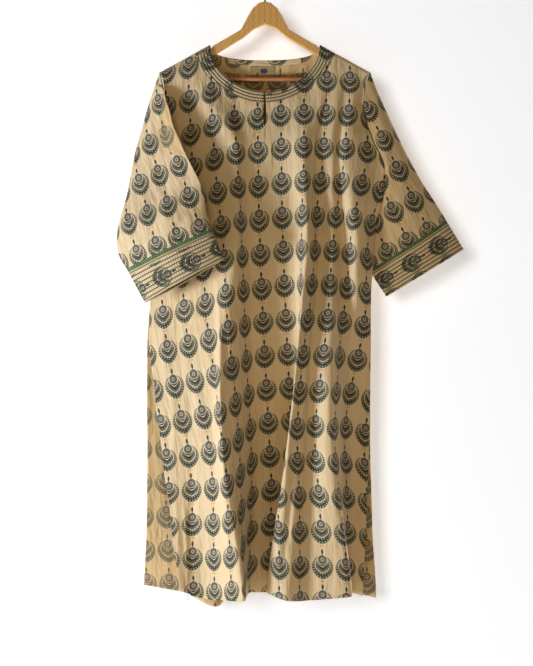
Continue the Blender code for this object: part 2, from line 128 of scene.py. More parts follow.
BACK_FOLDS = (
    ("left_edge", -208, -216, -3, -228, -1.6, -236, -1.8, -236, -6, -243, -6, 1222),
    ("left_wave", -138, -150, -16, -160, -20, -165, -16, -160, -12, -165, 2, 1234),
    ("left_turn", -134, -130, -17, -132, -22, -138, -20, -134, -18, -142, 3, 1244),
    ("left_swing", -80, -80, -20, -80, -26, -86, -28, -84, -30, -96, 6, 1262),
    ("mid_left", -36, -34, -24, -34, -36, -34, -40, -40, -46, -62, -26, 1238),
    ("mid_right", 40, 44, -24, 50, -38, 52, -42, 50, -50, 36, -34, 1232),
    ("right_swing", 96, 100, -20, 106, -28, 110, -32, 108, -36, 104, -16, 1236),
    ("right_turn", 134, 136, -16, 140, -22, 142, -26, 140, -31, 138, -16, 1237),
    ("right_wave", 138, 160, -14, 166, -18, 166, -20, 166, -26, 166, -14, 1238),
    ("right_edge", 208, 222, -3, 217, -1.6, 212, -2.5, 211, -5, 223, -6, 1248),
)

# Each sleeve's rings: x, z and out of its outer point, front guide, inner point and back guide.
SLEEVE_LEFT = (
    (-224, 236, 3, -199, 252, 24, -243, 400, 10, -238, 320, -8),
    (-240, 300, 5, -176, 318, 46, -206, 424, 32, -250, 374, -2),
    (-256, 360, 8, -152, 376, 60, -158, 446, 50, -240, 424, 14),
    (-272, 440, 16, -134, 440, 74, -124, 480, 64, -205, 478, 34),
    (-290, 510, 26, -178, 490, 82, -108, 500, 74, -200, 526, 42),
    (-288, 560, 34, -184, 530, 84, -104, 510, 78, -196, 552, 48),
    (-270, 592, 42, -187, 556, 84, -103, 519, 80, -187, 562, 54),
)
CUFF_LEFT_END = (-234, 658, 46, -157, 617, 86, -78, 576, 82, -157, 621, 56)
SLEEVE_RIGHT = (
    (222, 228, 2, 224, 312, 16, 250, 424, -1, 228, 322, -16),
    (245, 280, 2, 240, 370, 20, 240, 466, -11, 242, 376, -22),
    (276, 346, 2, 254, 428, 20, 214, 508, -15, 250, 434, -25),
    (310, 410, 2, 270, 474, 18, 212, 546, -16, 266, 480, -26),
    (341, 458, 2, 280, 514, 16, 209, 573, -16, 278, 518, -26),
    (362, 492, 2, 288, 542, 15, 210, 591, -15, 287, 544, -24),
)
CUFF_RIGHT_END = (397, 550, 2, 320, 597, 15, 243, 644, -3, 320, 598, -14)
CUFF_DEPTH = 72.0
BORDER_DEPTH = 7.0
# The print on the cuffs: its squeeze round the cuff, an eye's distance round and depth, and its direction.
CUFF_SQUEEZE = 0.95
CUFF_EYES = {"left": (77.0, 46.0), "right": (30.0, 36.0)}
CUFF_TURN = {"left": -1.0, "right": 1.0}

# The hanger board's left half: x and z of its upper and lower edges.
BOARD_UPPER = (
    (0, 55), (-12, 58), (-24, 68), (-34, 84), (-48, 111), (-80, 130), (-103, 143), (-114, 155), (-188, 194),
)
BOARD_LOWER = (
    (-193, 200), (-191, 216), (-178, 216), (-178, 200.5),
    (-96, 158), (-66, 140), (-44, 127), (-22, 109), (0, 100),
)


# The room, in metres: its wall and floor, how much they glow, the light all round, and each lamp's place,
# size, watts, colour and aim.
WALL_Y = 0.066
FLOOR_Z = -1.7
WALL_GLOW = 0.34
FLOOR_GLOW = 0.12
WORLD_LIGHT = 0.05
LAMPS = (
    ("key", (-1.9, -0.88, -1.1), (0.38, 0.5), 58.0, (0.63, 0.76, 1.0), (0.0, 0.0, -0.8)),
    ("sleeve_key", (-1.9, -0.88, -0.3), (0.38, 0.5), 17.0, (0.8, 0.82, 0.85), (0.0, 0.0, -0.65)),
    ("fill", (-0.35, -2.6, -0.25), (0.6, 0.6), 9.6, (1.0, 0.82, 0.45), (0.0, 0.0, -0.7)),
    ("back_light", (2.1, 1.6, -0.3), (0.7, 0.7), 48.0, (1.0, 0.98, 0.95), (0.0, 0.0, -0.7)),
    ("wall_light", (-1.2, -2.6, -0.2), (1.1, 1.1), 52.0, (1.0, 1.0, 1.0), (0.0, 0.0, -0.7)),
)


def place(x, z, out):
    """A point of the tables as world metres."""
    return (x * MM, -out * MM, -z * MM)


def between(rows, value, column):
    """The column's value at a height, read smoothly between a table's rows."""
    if value <= rows[0][0]:
        return float(rows[0][column])
    for low, high in zip(rows, rows[1:]):
        if value <= high[0]:
            share = (value - low[0]) / (high[0] - low[0])
            share = share * share * (3 - 2 * share) * 0.5 + share * 0.5
            return low[column] + (high[column] - low[column]) * share
    return float(rows[-1][column])


def spline(before, start, end, after, share):
    """One step of a Catmull-Rom curve through four numbers."""
    square, cube = share * share, share**3
    return 0.5 * (
        2 * start
        + (end - before) * share
        + (2 * before - 5 * start + 4 * end - after) * square
        + (3 * start - before - 3 * end + after) * cube
    )


def spline_at(values, place_on):
    """A Catmull-Rom curve through a list of numbers, read at a place from 0 to its last index."""
    last = len(values) - 1
    index = min(int(place_on), last - 1)
    before, after = values[max(index - 1, 0)], values[min(index + 2, last)]
    return spline(before, values[index], values[index + 1], after, place_on - index)


def shoulder_z(x):
    """The shoulder line's height at x, falling outwards from the neck."""
    return NECK_TOP + max(abs(x) - NECK_HALF, 0.0) * SHOULDER_DROP / (SHOULDER_HALF - NECK_HALF)


def neck_z(x):
    """The front neckline."""
    share = min(abs(x) / NECK_HALF, 1.0)
    return NECK_TOP + NECK_DEPTH * (1 - share**1.9) ** (1 / 1.9)


def band_z(x):
    """The neck band's outer edge, where it is sewn to the front."""
    start = shoulder_z(BAND_HALF)
    share = min(abs(x) / BAND_HALF, 1.0)
    return start + (BAND_BOTTOM - start) * (1 - share**1.7) ** (1 / 1.7)


def back_neck_z(x):
    share = min(abs(x) / NECK_HALF, 1.0)
    return NECK_TOP + BACK_NECK_DEPTH * (1 - share**2.4) ** (1 / 2.4)


def back_band_z(x):
    start = shoulder_z(BAND_HALF)
    share = min(abs(x) / BAND_HALF, 1.0)
    return start + (NECK_TOP + BACK_NECK_DEPTH + BACK_BAND_WIDTH - start) * (1 - share**2.2) ** (1 / 2.2)


def front_top(x):
    """The front panel's top edge: the band's seam, then the shoulder seam."""
    return band_z(x) if abs(x) < BAND_HALF else shoulder_z(x)


def back_top(x):
    return back_band_z(x) if abs(x) < BAND_HALF else shoulder_z(x)


def seam_out(depth_below_shoulder, over_board):
    """How far the cloth stands out just below the shoulder seam, where it turns over the board."""
    share = min(max(depth_below_shoulder, 0.0) / 6.0, 1.0)
    return SEAM_OUT + (over_board - SEAM_OUT) * math.sqrt(share)


def neck_out(x, z, sign):
    """How far a panel stands out in the yoke, above the chest line."""
    fall = z - shoulder_z(x)
    lean = 9.0 + 7.0 * min(max(z - 160.0, 0.0) / 100.0, 1.0) * (1 - min(abs(x) / 200.0, 1.0))
    return sign * seam_out(fall, lean)


def armhole_out(z):
    """How far a panel's side edge stands out along the armhole, from the shoulder to the underarm."""
    fall = z - NECK_TOP - SHOULDER_DROP
    share = min(max(fall / (UNDERARM - NECK_TOP - SHOULDER_DROP), 0.0), 1.0)
    close = math.sqrt(math.sin(math.pi * share)) if share > 0.5 else math.sqrt(min(max(fall, 0.0) / 6.0, 1.0))
    return SEAM_OUT + ARMHOLE_BULGE * close


def panel_row(folds, sides, top, sign, part):
    """One row of fold points, as (x, z, out). part runs from 0 at the top edge to 5 at the hem."""
    points = []
    for index, fold in enumerate(folds):
        x_top, z_hem = fold[1], fold[12]
        xs = [x_top, fold[2], fold[4], fold[6], fold[8], fold[10]]
        zs = [top(x_top), *LEVELS, z_hem]
        x = spline_at(xs, part)
        level = min(int(part), 4)
        z = zs[level] + (zs[level + 1] - zs[level]) * (part - level)
        if index == 0:
            x = between(sides, z, 1)
        if index == len(folds) - 1:
            x = between(sides, z, 2)
        outs = [fold[3], fold[3], fold[5], fold[7], fold[9], fold[11]]
        out = spline_at(outs, part)
        if part < 1:
            yoke = neck_out(x, z, sign)
            ease = part * part * (3 - 2 * part)
            out = yoke + (fold[3] - yoke) * ease
        if index in (0, len(folds) - 1):
            out = sign * (armhole_out(z) if z < UNDERARM else max(sign * out, SEAM_OUT))
        points.append((x, z, out))
    return points


def ring(points, count):
    """A closed smooth ring through four points, with count points, starting at the outer one."""
    made = []
    for j in range(count):
        place_on = 4 * j / count
        index = int(place_on)
        near = [points[(index + k) % 4] for k in (-1, 0, 1, 2)]
        made.append(tuple(spline(*(point[axis] for point in near), place_on - index) for axis in range(3)))
    return made


def row_points(row):
    return [tuple(row[3 * i : 3 * i + 3]) for i in range(4)]


def armhole_ring(side, count):
    """The sleeve's first ring, just outside the armhole edges of the front and the back."""
    column = 1 if side < 0 else 2
    made = []
    half = count // 2
    top, bottom = shoulder_z(SHOULDER_HALF) - 1.0, UNDERARM + 3.0
    for j in range(count):
        down = j / half if j <= half else 2 - j / half
        z = top + (bottom - top) * down
        x = between(SIDES, z, column) + side * 2.2
        bulge = armhole_out(z)
        made.append((x, z, bulge if 0 < j < half else -bulge if j > half else 0.0))
    return made


def cuff_rows(first, last, start, end, steps):
    """A straight tube from the sleeve's end to the cuff's end, between two depths down the cuff."""
    rows = []
    for i in range(steps + 1):
        share = (start + (end - start) * i / steps) / CUFF_DEPTH
        rows.append([tuple(a[k] + (b[k] - a[k]) * share for k in range(3)) for a, b in zip(first, last)])
    return rows


def seam_points(row):
    """The part of a panel's top edge that its neck band is sewn to."""
    return [(x, z) for x, z, _ in row if abs(x) <= BAND_HALF + 0.01]


# The print's repeat and where its columns and rows lie.
PITCH_ACROSS = 46.0
PITCH_DOWN = 67.3
FIRST_ROW_Z = 279.0
# Where the print's middle column runs down the front: z and x.
MIDDLE_COLUMN = ((240, -15), (340, -14), (480, -12), (619, -7), (751, -1), (883, 6), (1017, 13), (1240, 10))
BACK_COLUMN_SHIFT = 22.0
BACK_ROW_SHIFT = 14.7
# How far the rows drop at each column: its number, then the drop at the chest, the knee and the hem.
ROW_DROP = (
    (-8, 64, 78, 70), (-7, 62, 76, 68), (-6, 60, 70, 65), (-5, 54, 60, 61), (-4, 42, 50, 60),
    (-3, 31, 41, 47), (-2, 14, 26, 34), (-1, 4, 11, 12), (0, 0, 0, 0), (1, -7, -2, 0), (2, -8, 0, 2),
    (3, -8, 5, 4), (4, -7, 1, 3), (5, -3, 5, 7), (6, 8, 6, 14), (7, 16, 22, 28), (8, 20, 28, 34),
    (9, 22, 30, 36),
)


def table_at(rows, value):
    """The other columns of a table, read along its first one."""
    xs = [row[0] for row in rows]
    return [float(np.interp(value, xs, [row[k] for row in rows])) for k in range(1, len(rows[0]))]


def row_drop(u, z):
    chest, knee, hem = table_at(ROW_DROP, u / PITCH_ACROSS)
    return float(np.interp(z, (280, 620, 890, 1150), (chest, chest, knee, hem)))


def panel_cloth(grid, drop=True):
    """Each point's place on the flat cloth: across from the print's middle column, and down the grain."""
    cloth = np.zeros(grid.shape[:2] + (2,))
    for i, row in enumerate(grid):
        steps = np.hypot(np.diff(row[:, 0]), np.diff(row[:, 2]))
        along = np.concatenate([[0.0], np.cumsum(steps)])
        x_middle = table_at(MIDDLE_COLUMN, float(row[len(row) // 2, 1]))[0] if drop else 0.0
        start = float(np.interp(x_middle, row[:, 0], along))
        for j in range(len(row)):
            u = along[j] - start
            fall = row_drop(u, row[j, 1]) if drop else 0.0
            cloth[i, j] = (u, row[j, 1] - FIRST_ROW_Z - fall)
    return cloth


def fine_row(points, counts):
    """Fold points filled in along the same smooth curve, with a count of steps after each."""
    filled = []
    for index, count in enumerate(counts):
        for step in range(count):
            place_on = index + step / count
            filled.append(tuple(spline_at([point[axis] for point in points], place_on) for axis in range(3)))
    filled.append(points[-1])
    return filled


def fine_panel(folds, sides, top, sign, rows, step):
    """The panel as a fine grid: the same folds as its solid, with many more steps between them."""
    parts = [5.0 * (i / rows) for i in range(rows + 1)]
    coarse = [panel_row(folds, sides, top, sign, part) for part in parts]
    counts = []
    for index in range(len(folds) - 1):
        widest = max(math.dist(row[index][::2], row[index + 1][::2]) for row in coarse)
        counts.append(max(2, math.ceil(widest / step)))
    made = [fine_row(row, counts) for row in coarse]
    lifts = [top(x) - z for x, z, _ in made[0]]
    for i, part in enumerate(parts):
        if part < 1:
            made[i] = [(x, z + lift * (1 - part), out) for (x, z, out), lift in zip(made[i], lifts)]
    made[0] = [(x, z, neck_out(x, z, sign)) for x, z, _ in made[0]]
    return np.array(made)


def crease(grid, lines, sign=1.0):
    """Raises the creases on a grid, each fading out at both its ends."""
    x, z = grid[..., 0], grid[..., 1]
    for x0, z0, x1, z1, width, height in lines:
        length = math.hypot(x1 - x0, z1 - z0)
        ux, uz = (x1 - x0) / length, (z1 - z0) / length
        along = ((x - x0) * ux + (z - z0) * uz) / length
        away = (x - x0) * -uz + (z - z0) * ux
        end = np.clip(np.minimum(along, 1 - along) * 4, 0, 1)
        grid[..., 2] += sign * height * np.exp(-((away / width) ** 2)) * end * end * (3 - 2 * end)
    return grid


def soft_noise(grid, size, height, seed):
    """A slight unevenness of the cloth, longer down the grain than across it."""
    for i in range(grid.shape[0]):
        for j in range(grid.shape[1]):
            x, z = grid[i, j, :2]
            grid[i, j, 2] += height * noise.noise(Vector((x / size + seed, z / (3.2 * size), seed * 1.7)))
    return grid


def add(name, data):
    """A new object in the scene."""
    obj = bpy.data.objects.new(name, data)
    bpy.context.scene.collection.objects.link(obj)
    return obj


def add_mesh(name, corners, faces):
    mesh = bpy.data.meshes.new(name)
    mesh.from_pydata(corners, [], faces)
    return add(name, mesh)


def grid_object(name, grid, maps, looks, thickness=CLOTH, closed=False, flip=False):
    """A thin shell through a grid of points, with its flat-cloth places as UV maps."""
    rows, width = grid.shape[:2]
    corners = [place(*point) for row in grid for point in row]
    faces, spots = [], []
    for i in range(rows - 1):
        for j in range(width if closed else width - 1):
            k = (j + 1) % width
            face = [i * width + j, i * width + k, (i + 1) * width + k, (i + 1) * width + j]
            spot = [(i, j), (i, j + 1), (i + 1, j + 1), (i + 1, j)]
            faces.append(face if flip else face[::-1])
            spots.append(spot if flip else spot[::-1])
    obj = add_mesh(name, corners, faces)
    for map_name, values in maps.items():
        layer = obj.data.uv_layers.new(name=map_name)
        flat = np.array([values[i, j] for spot in spots for i, j in spot], dtype=np.float32)
        layer.data.foreach_set("uv", (flat * MM).ravel())
    obj.data.shade_smooth()
    for look in looks:
        obj.data.materials.append(look)
    wall = obj.modifiers.new("Wall", "SOLIDIFY")
    wall.thickness = thickness * MM
    wall.offset = -1.0
    wall.use_even_offset = False
    wall.material_offset = len(looks) - 1
    return obj


class Value:
    """A number inside a shader, so that its formulas read as plain sums."""

    def __init__(self, tree, socket):
        self.tree = tree
        self.socket = socket

    def math(self, operation, *others):
        node = self.tree.nodes.new("ShaderNodeMath")
        node.operation = operation
        for slot, other in zip(node.inputs, (self, *others)):
            if isinstance(other, Value):
                self.tree.links.new(other.socket, slot)
            else:
                slot.default_value = other
        return Value(self.tree, node.outputs[0])

    def __add__(self, other):
        return self.math("ADD", other)

    def __sub__(self, other):
        return self.math("SUBTRACT", other)

    def __mul__(self, other):
        return self.math("MULTIPLY", other)

    def __truediv__(self, other):
        return self.math("DIVIDE", other)

    def __neg__(self):
        return self * -1.0

    def __abs__(self):
        return self.math("ABSOLUTE")

    def power(self, other):
        return self.math("MAXIMUM", 0.0).math("POWER", other)

    def root(self):
        return self.math("MAXIMUM", 0.0).math("SQRT")

    def low(self, other):
        return self.math("MINIMUM", other)

    def high(self, other):
        return self.math("MAXIMUM", other)

    def clamp(self):
        return self.high(0.0).low(1.0)

    def wave(self):
        """A sine turned to run from 0 to 1."""
        return self.math("SINE") * 0.5 + 0.5

    def below(self, limit, soft=0.5):
        """1 where this is under the limit, 0 over it, with a soft edge."""
        return ((self - limit) * (-1.0 / soft) + 0.5).clamp()

    def over(self, limit, soft=0.5):
        return ((self - limit) * (1.0 / soft) + 0.5).clamp()


class Shader:
    """One material's node tree."""

    def __init__(self, name):
        self.material = bpy.data.materials.new(name)
        self.material.use_nodes = True
        self.tree = self.material.node_tree
        self.shader = self.tree.nodes["Principled BSDF"]

    def node(self, kind, **values):
        made = self.tree.nodes.new(kind)
        for key, value in values.items():
            if key in made.inputs:
                if isinstance(value, Value):
                    self.tree.links.new(value.socket, made.inputs[key])
                elif hasattr(value, "is_output"):
                    self.tree.links.new(value, made.inputs[key])
                else:
                    made.inputs[key].default_value = value
            else:
                setattr(made, key, value)
        return made

    def uv(self, name):
        """The two flat-cloth coordinates of a UV map, in millimetres."""
        source = self.node("ShaderNodeUVMap", uv_map=name)
        parts = self.node("ShaderNodeSeparateXYZ", Vector=source.outputs[0])
        return [Value(self.tree, parts.outputs[k]) * 1000.0 for k in (0, 1)]

    def spot(self):
        """A point's own x, y and z on its piece, in millimetres."""
        parts = self.node("ShaderNodeSeparateXYZ", Vector=self.node("ShaderNodeTexCoord").outputs["Object"])
        return [Value(self.tree, parts.outputs[k]) * 1000.0 for k in range(3)]

    def noise(self, u, v, scale, detail=3.0, stretch=1.0):
        joined = self.node("ShaderNodeCombineXYZ", X=u * scale, Y=v * (scale / stretch))
        made = self.node("ShaderNodeTexNoise", Vector=joined.outputs[0], Scale=1.0, Detail=detail)
        return Value(self.tree, made.outputs["Fac"])

    def color(self, value):
        made = self.node("ShaderNodeRGB")
        made.outputs[0].default_value = (*linear(value), 1.0)
        return made.outputs[0]

    def mix(self, share, first, second):
        made = self.node("ShaderNodeMix", data_type="RGBA")
        self.tree.links.new(share.socket, made.inputs["Factor"])
        self.tree.links.new(first, made.inputs[6])
        self.tree.links.new(second, made.inputs[7])
        return made.outputs[2]

    def finish(self, color, rough=0.85, bump=None, strength=0.3, distance=0.0004, sheen=0.0, metallic=0.0):
        """Sets the surface: its colour, roughness, and relief with its strength and height in metres."""
        self.tree.links.new(color, self.shader.inputs["Base Color"])
        if isinstance(rough, Value):
            self.tree.links.new(rough.socket, self.shader.inputs["Roughness"])
        else:
            self.shader.inputs["Roughness"].default_value = rough
        self.shader.inputs["Metallic"].default_value = metallic
        self.shader.inputs["Sheen Weight"].default_value = sheen
        if bump is not None:
            made = self.node("ShaderNodeBump", Height=bump, Strength=strength, Distance=distance)
            self.tree.links.new(made.outputs[0], self.shader.inputs["Normal"])
        return self.material


def linear(value):
    """A hex colour as linear light."""
    channels = [int(value[i : i + 2], 16) / 255 for i in (1, 3, 5)]
    return [c / 12.92 if c <= 0.04045 else ((c + 0.055) / 1.055) ** 2.4 for c in channels]


def buti(sh, u, v):
    """The block-printed motif, charted by formula: how much dark, blue, ochre and pale dash covers a point.

    u runs across the cloth and v down the grain, in millimetres from a motif's eye.
    """
    wobble = sh.noise(u, v, 0.09, 2.0) * 1.6 - 0.8
    p = (u + wobble * 0.5) / PITCH_ACROSS + 0.5
    p = (p - p.math("FLOOR") - 0.5) * PITCH_ACROSS
    q = (v + wobble * 0.6) / PITCH_DOWN + 0.36
    q = (q - q.math("FLOOR") - 0.36) * PITCH_DOWN
    side = abs(p)
    eye = (p * p + q * q).root()

    def bowl(half, center, drop, rise, point):
        """A distance that is 1 on a bowl-shaped line with a pointed foot."""
        down = (q - center).high(0.0) / drop
        up = (q - center).low(0.0) / -rise
        across = side / half
        lower = (across.power(point) + down.power(point)).power(1.0 / point)
        upper = (across * across + up * up).root()
        return lower.high(upper)

    outline = bowl(20.6, 14.0, 23.4, 22.0, 1.72)
    outer_in = bowl(15.6, 12.0, 14.5, 19.0, 1.42)
    inner_out = bowl(13.9, 12.0, 12.3, 17.0, 1.42)
    inner_in = bowl(10.6, 3.0, 11.9, 9.0, 1.45)
    core_out = bowl(9.5, 3.0, 9.9, 8.0, 1.6)
    tips = (q - side * 0.22).over(-6.5, 1.0)
    outer = outline.below(1.0, 0.04) * outer_in.over(1.0, 0.05) * tips
    inner = inner_out.below(1.0, 0.05) * inner_in.over(1.0, 0.06) * tips
    core_bowl = core_out.below(1.0, 0.07) * eye.over(9.6, 0.8) * q.over(1.0, 1.0)
    angle = p.math("ARCTAN2", q - 11.0)
    rays = (angle * 25.0).wave()
    outer_dash = rays.over(0.5, 0.2) * outline.over(0.83, 0.04) * outline.below(0.945, 0.04)
    bead = (angle * 21.0 + 1.0).wave() * abs(outer_in * -1.0 + 1.17).below(0.075, 0.05)
    outer_dash = (outer_dash + bead.over(0.5, 0.2)).clamp()
    inner_dots = (angle * 17.0).wave().over(0.52, 0.2) * abs(inner_out * -1.0 + 0.88).below(0.075, 0.05)
    inner_low = (angle * 17.0 + 3.1).wave().over(0.55, 0.2) * abs(inner_out * -1.0 + 0.7).below(0.06, 0.05)
    inner_dash = (inner_dots + inner_low).clamp() * inner
    edge_bite = rays.over(0.55, 0.3) * outline.over(0.975, 0.03) * 0.5
    stem = side.below(0.7, 0.5) * q.over(-20.4, 0.8) * q.below(-8.0, 0.8)
    lift = (q + 15.0) / 4.6
    bud_width = (lift * lift * -1.0 + 1.0).root() * 2.2
    bud = (side - bud_width).below(0.0, 0.6) * q.over(-19.6, 0.6) * q.below(-10.4, 0.6)
    ring = eye.below(8.3, 0.6) * eye.over(3.9, 0.6)
    rim = (eye.over(7.2, 0.6) + eye.below(4.9, 0.5)).clamp() * ring
    core = eye.below(3.4, 0.6)
    pip = eye.below(1.3, 0.6)
    dark = (outer * (edge_bite * -1.0 + 1.0) + inner + core_bowl + stem + bud + rim * 0.8 + pip).clamp()
    tail = side.below(0.8, 0.7) * q.over(38.6, 0.7) * q.below(43.0, 0.9)
    drops = abs(side - 3.4).below(0.8, 0.7) * q.over(40.2, 0.7) * q.below(42.8, 0.7)
    ochre = (tail + drops + core * 0.9).clamp()
    dash = (outer_dash * outer * 0.9 + inner_dash * 0.65).clamp()
    return dark, ring, ochre, dash


def worn(sh, share, u, v, low=0.9):
    """Block-print ink with slightly uneven cover."""
    cover = sh.noise(u, v, 0.55, 2.0)
    return share * ((cover * 0.9 + 0.45).clamp() * (1.0 - low) + low)


def printed(sh, u, v, ground, strength=1.0):
    """The printed colour over a ground colour."""
    dark, ring, ochre, dash = buti(sh, u, v)
    color = sh.mix(ochre * (0.75 * strength), ground, sh.color("#9A7428"))
    color = sh.mix(worn(sh, ring, u, v) * (0.92 * strength), color, sh.color("#2A4C5E"))
    color = sh.mix(worn(sh, dark, u, v) * (0.985 * strength), color, sh.color("#1B231C"))
    return sh.mix(dash * (0.8 * strength), color, sh.color("#B9AE82"))


def cotton_ground(sh, u, v, first="#E6C795", second="#D8B581"):
    blotch = sh.noise(u, v, 0.02, 3.0)
    slub = sh.noise(u, v, 1.4, 2.0, 9.0)
    color = sh.mix(blotch, sh.color(first), sh.color(second))
    return sh.mix(slub * 0.12, color, sh.color("#B98F52"))


def weave(sh, u, v):
    """The cloth's fine relief in millimetres: threads both ways, and soft creasing down the grain."""
    warp = (u * 5.2).wave()
    weft = (v * 4.6).wave()
    broad = sh.noise(u, v, 0.045, 3.0, 5.0)
    small = sh.noise(u, v, 0.15, 3.0, 2.2)
    fine = sh.noise(u, v, 0.5, 2.0, 4.0)
    return warp * 0.03 + weft * 0.03 + broad * 6.5 + small * 0.9 + fine * 0.2


def cotton(name, strength=1.0, first="#E6C795", second="#D8B581"):
    sh = Shader(name)
    u, v = sh.uv("cloth")
    color = printed(sh, u, v, cotton_ground(sh, u, v, first, second), strength)
    return sh.finish(color, 0.82, weave(sh, u, v), 1.0, 0.001, sheen=0.08)


def stitched(name, first_line, spacing, end, dash_length, thickness, pale, print_from, print_beyond):
    """A stitched band: printed cloth with dark thread lines, puffed cells between them with a painted
    highlight as pale dashes, and painted shade in the gaps.
    """
    sh = Shader(name)
    u, v = sh.uv("cloth")
    s, t = sh.uv("band")
    shake = sh.noise(s, t, 0.05, 2.0) * 1.2 - 0.6
    across = t + shake * 0.6
    lane = (across - first_line) / spacing
    number = lane.math("FLOOR")
    fraction = lane - number
    to_line = (fraction - 0.5).math("ABSOLUTE") * -1.0 + 0.5
    within = t.over(first_line - 0.9, 0.4) * t.below(end, 0.4)
    line = to_line.below(thickness, 0.1) * within
    phase = (s + number * (dash_length * 0.37)) / dash_length + shake * 0.25
    step = phase - phase.math("FLOOR")
    dash = step.below(0.72, 0.14) * to_line.over(thickness + 0.08, 0.12) * within
    gap = step.over(0.74, 0.14) * within
    # Painted shade: the gaps between the puffed cells are darkened to brown.
    ground_with_painted_shade = sh.mix(gap * 0.5, cotton_ground(sh, u, v), sh.color("#6E5426"))
    # Painted highlight: the puffed cells between the thread lines are made a paler cream.
    stitch_with_painted_light = sh.mix(dash * pale, ground_with_painted_shade, sh.color("#F0D9A8"))
    shown = t.over(print_from, 3.0) * abs(u).over(print_beyond, 5.0)
    seen = sh.mix(shown, stitch_with_painted_light, printed(sh, u, v, stitch_with_painted_light, 1.0))
    color = sh.mix(line * 0.92, seen, sh.color("#34351A"))
    relief = line * -0.8 + dash * 0.9 + sh.noise(u, v, 0.4, 2.0) * 0.25
    return sh.finish(color, 0.8, relief, 0.8, 0.0012, sheen=0.05)


def couching():
    """The green twisted border: slanting bites of light and dark thread."""
    sh = Shader("green_couching")
    s, t = sh.uv("band")
    bite = ((s + t * 0.5) * 1.75 + sh.noise(s, t, 0.3) * 1.6).wave()
    patch = sh.noise(s, t, 0.05, 2.0)
    color = sh.mix(bite, sh.color("#2A3C1A"), sh.color("#76964E"))
    color = sh.mix(patch.over(0.52, 0.25) * 0.45, color, sh.color("#2A3318"))
    return sh.finish(color, 0.7, bite, 0.9, 0.0012, sheen=0.1)


def wood(name, light, mid, dark, angle, gloss=0.38, knot=None):
    """Varnished wood with its grain running at an angle in the x-z plane."""
    sh = Shader(name)
    x, y, z = sh.spot()
    turn = math.radians(angle)
    along = abs(x) * math.cos(turn) + z * -math.sin(turn)
    away = abs(x) * math.sin(turn) + z * math.cos(turn)
    bend = sh.noise(along, away, 0.035, 2.0) * 10.0
    rings = ((away + bend + y * 0.4) * 1.25).wave()
    fibre = sh.noise(along, away, 0.9, 3.0, 1.0)
    streak = sh.noise(along * 0.06, away, 0.8, 3.0)
    color = sh.mix(rings * 0.55, sh.color(light), sh.color(mid))
    color = sh.mix(streak.over(0.52, 0.2) * 0.45, color, sh.color(dark))
    color = sh.mix(fibre * 0.18, color, sh.color(light))
    if knot:
        apart = ((x - knot[0]) * (x - knot[0]) + (z - knot[1]) * (z - knot[1])).root()
        color = sh.mix(apart.below(3.2, 3.0) * 0.7, color, sh.color(dark))
    return sh.finish(color, gloss, fibre, 0.08, 0.0004)


def plain(name, color, rough, metallic=0.0, second=None, scale=0.4, amount=0.4):
    """One colour, with patches of a second one."""
    sh = Shader(name)
    x, _, z = sh.spot()
    patch = sh.noise(x, z, scale, 3.0)
    mixed = sh.mix(patch * amount, sh.color(color), sh.color(second or color))
    return sh.finish(mixed, rough, patch, 0.1, 0.0003, metallic=metallic)


def glowing(name, color, strength):
    """White paint that glows a little, so that only soft shadows show on it."""
    sh = Shader(name)
    sh.shader.inputs["Emission Color"].default_value = (1.0, 1.0, 1.0, 1.0)
    sh.shader.inputs["Emission Strength"].default_value = strength
    sh.finish(sh.color(color), 0.95)
    return sh


def glowing_wall():
    """The pale wall. Its back face is clear, so that a view from behind sees the tunic."""
    sh = glowing("pale_wall", "#F2F2F4", WALL_GLOW)
    side = sh.node("ShaderNodeNewGeometry")
    clear = sh.node("ShaderNodeBsdfTransparent")
    both = sh.node("ShaderNodeMixShader")
    sh.tree.links.new(side.outputs["Backfacing"], both.inputs[0])
    sh.tree.links.new(sh.shader.outputs[0], both.inputs[1])
    sh.tree.links.new(clear.outputs[0], both.inputs[2])
    sh.tree.links.new(both.outputs[0], sh.tree.nodes["Material Output"].inputs[0])
    return sh.material


def label_cloth(name):
    sh = Shader(name)
    x, _, z = sh.spot()
    ribs = (x * 6.0).wave() * 0.5 + (z * 6.0).wave() * 0.5
    return sh.finish(sh.mix(ribs, sh.color("#B59A63"), sh.color("#A38850")), 0.8, ribs, 0.3, 0.0003)


# The creases: where each starts and ends as x and z, its half width and its height.
FRONT_CREASES = (
    (-150, 215, -60, 330, 16, 2.2), (-196, 250, -120, 420, 14, 2.6), (-175, 330, -150, 560, 12, 2.0),
    (-120, 300, -112, 620, 11, -2.4), (60, 300, 92, 620, 12, 2.6), (150, 240, 96, 380, 14, 2.4),
    (186, 300, 128, 420, 12, 2.4), (178, 420, 190, 640, 10, -2.0), (30, 320, 44, 700, 14, -1.8),
    (-150, 700, -140, 1180, 9, -2.2), (-30, 760, -2, 1150, 10, 1.6), (120, 700, 112, 1190, 9, 2.0),
    (-206, 560, -196, 860, 7, 1.4), (-186, 780, -168, 1200, 6, 2.0), (-160, 1030, -150, 1225, 4, 2.6),
    (78, 560, 50, 880, 6, 3.4), (52, 840, 20, 1238, 6, 3.4),
    (90, 560, 64, 880, 7, -3.0), (66, 840, 34, 1238, 7, -3.0),
    (-92, 600, -84, 900, 6, 2.6), (-86, 860, -70, 1200, 6, 2.6), (-78, 640, -68, 960, 7, -2.4),
    (-196, 640, -110, 700, 9, 1.6), (-190, 900, -120, 930, 10, 1.4), (100, 420, 180, 480, 10, 1.6),
)
BACK_CREASES = (
    (-150, 240, -90, 520, 18, 2.4), (140, 230, 80, 480, 16, 2.8), (-60, 330, -70, 800, 14, -2.2),
    (20, 300, 30, 720, 16, 2.2), (120, 600, 112, 1150, 12, -2.2), (-130, 760, -120, 1200, 12, 2.0),
)
LEFT_SLEEVE_CREASES = (
    (-216, 260, -250, 430, 10, 2.4), (-180, 250, -222, 520, 9, -2.4), (-150, 400, -210, 520, 8, 2.2),
    (-240, 520, -262, 610, 7, 2.2), (-140, 470, -180, 545, 7, -2.0),
)
